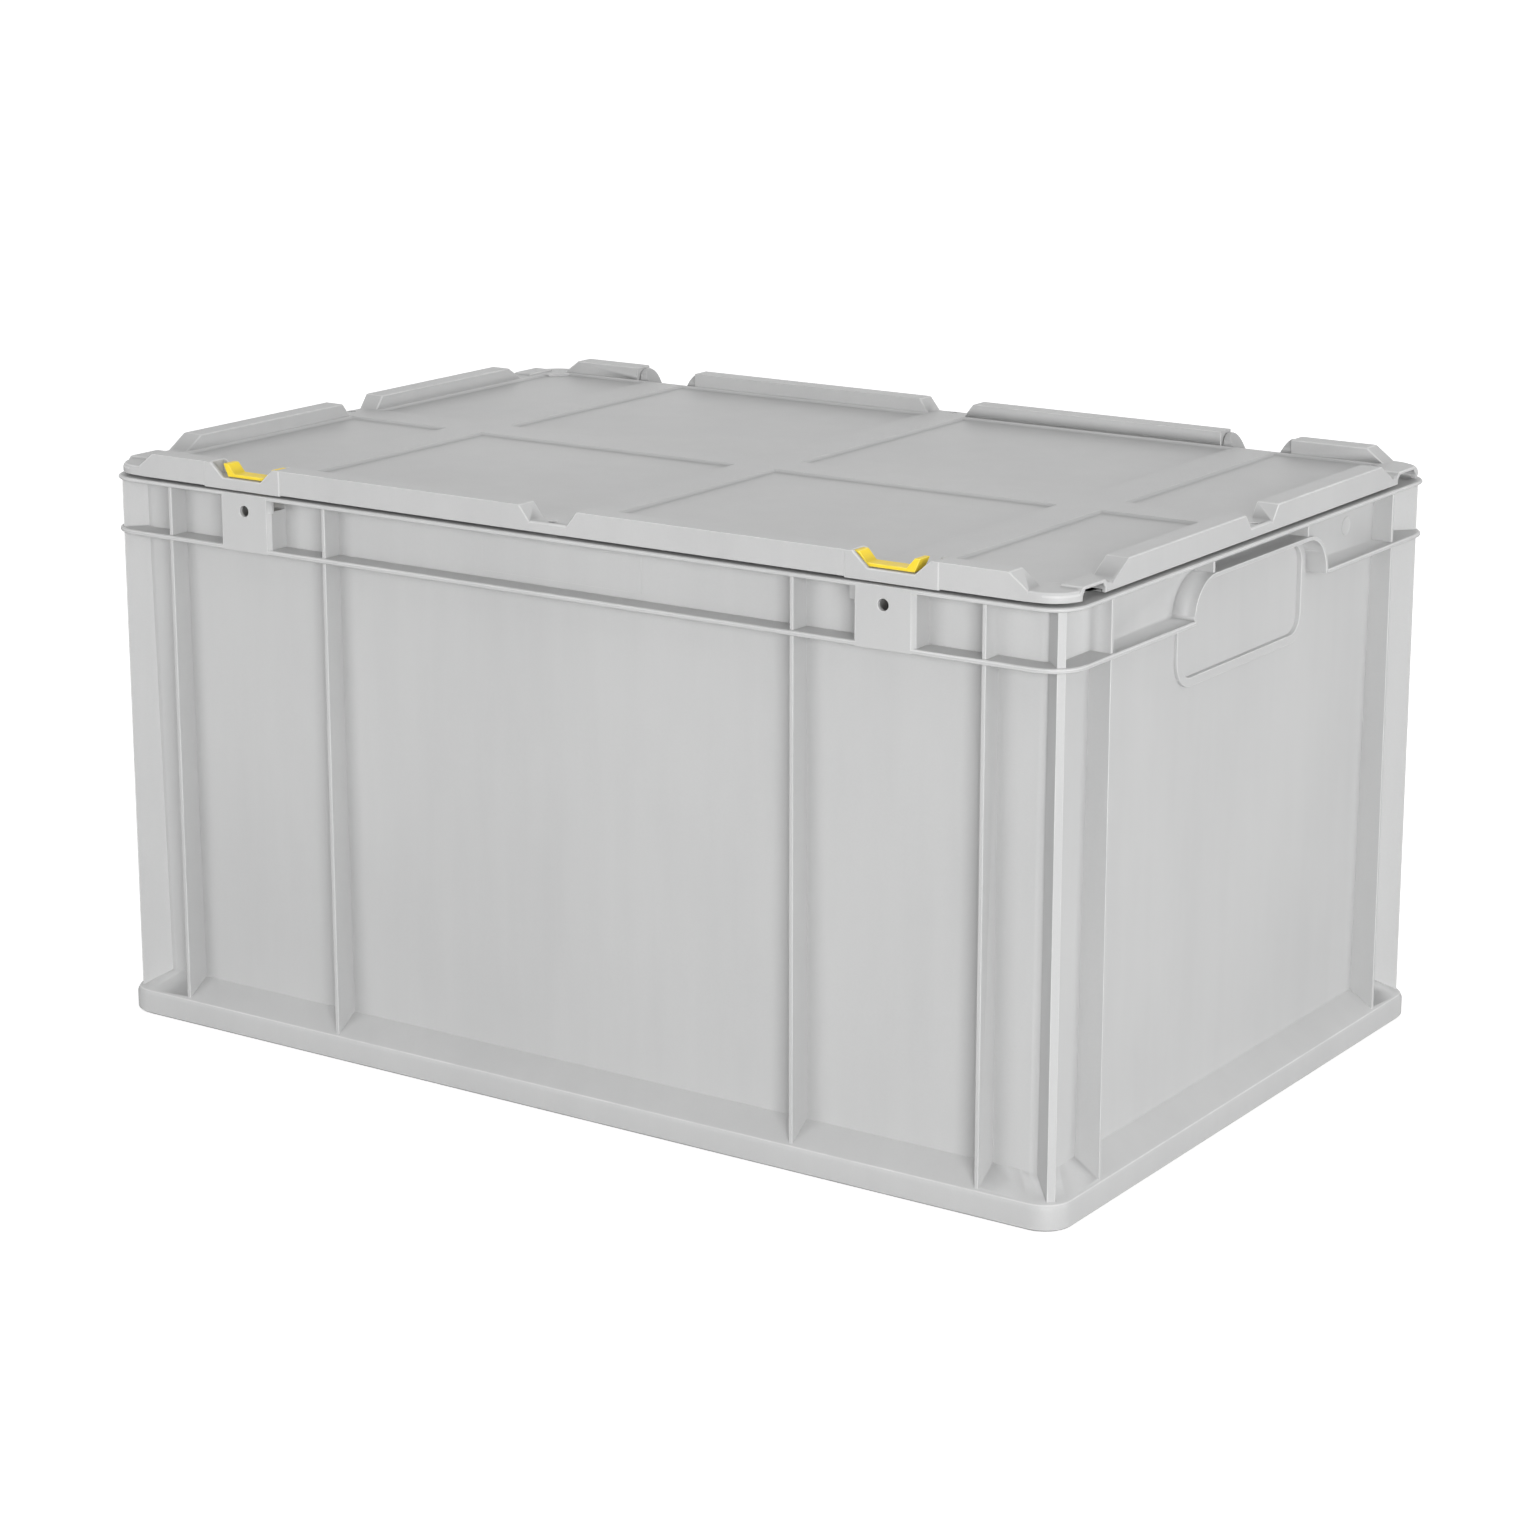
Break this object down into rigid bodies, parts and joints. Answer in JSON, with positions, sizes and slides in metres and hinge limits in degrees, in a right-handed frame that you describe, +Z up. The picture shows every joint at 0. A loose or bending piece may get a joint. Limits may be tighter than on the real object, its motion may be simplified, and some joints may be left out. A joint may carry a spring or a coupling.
{
  "type": "storage_box",
  "caption": "Stacking storage box in grey plastic with ribbed walls, closed handles, a hinged lid with raised stacking rails and yellow slide latches.",
  "frame": {"origin": "centre of the foot ring, on the floor", "axes": "+X along the long side to the right, -Y the front with the latches, +Z up"},
  "size_m": [0.6, 0.4, 0.32],
  "materials": {
    "grey_plastic": "moulded polypropylene, fine satin grain",
    "yellow_plastic": "moulded, soft gloss",
    "clip_plastic": "moulded, smooth satin"
  },
  "bodies": {
    "box": {"box_body": "grey_plastic", "hinge_clip_left": "clip_plastic", "hinge_clip_right": "clip_plastic"},
    "lid": {"lid": "grey_plastic"},
    "latch_left": {"slide_latch_left": "yellow_plastic"},
    "latch_right": {"slide_latch_right": "yellow_plastic"}
  },
  "joints": [
    {"name": "lid_hinge", "type": "hinge", "parent": "box", "child": "lid", "pos_m": [0, 0.1928, 0.3129], "axis": [-1, 0, 0], "range_deg": [0, 108]},
    {"name": "latch_left_slide", "type": "slide", "parent": "lid", "child": "latch_left", "axis": [-1, 0, 0], "range_m": [0, 0.008]},
    {"name": "latch_right_slide", "type": "slide", "parent": "lid", "child": "latch_right", "axis": [1, 0, 0], "range_m": [0, 0.008]}
  ]
}
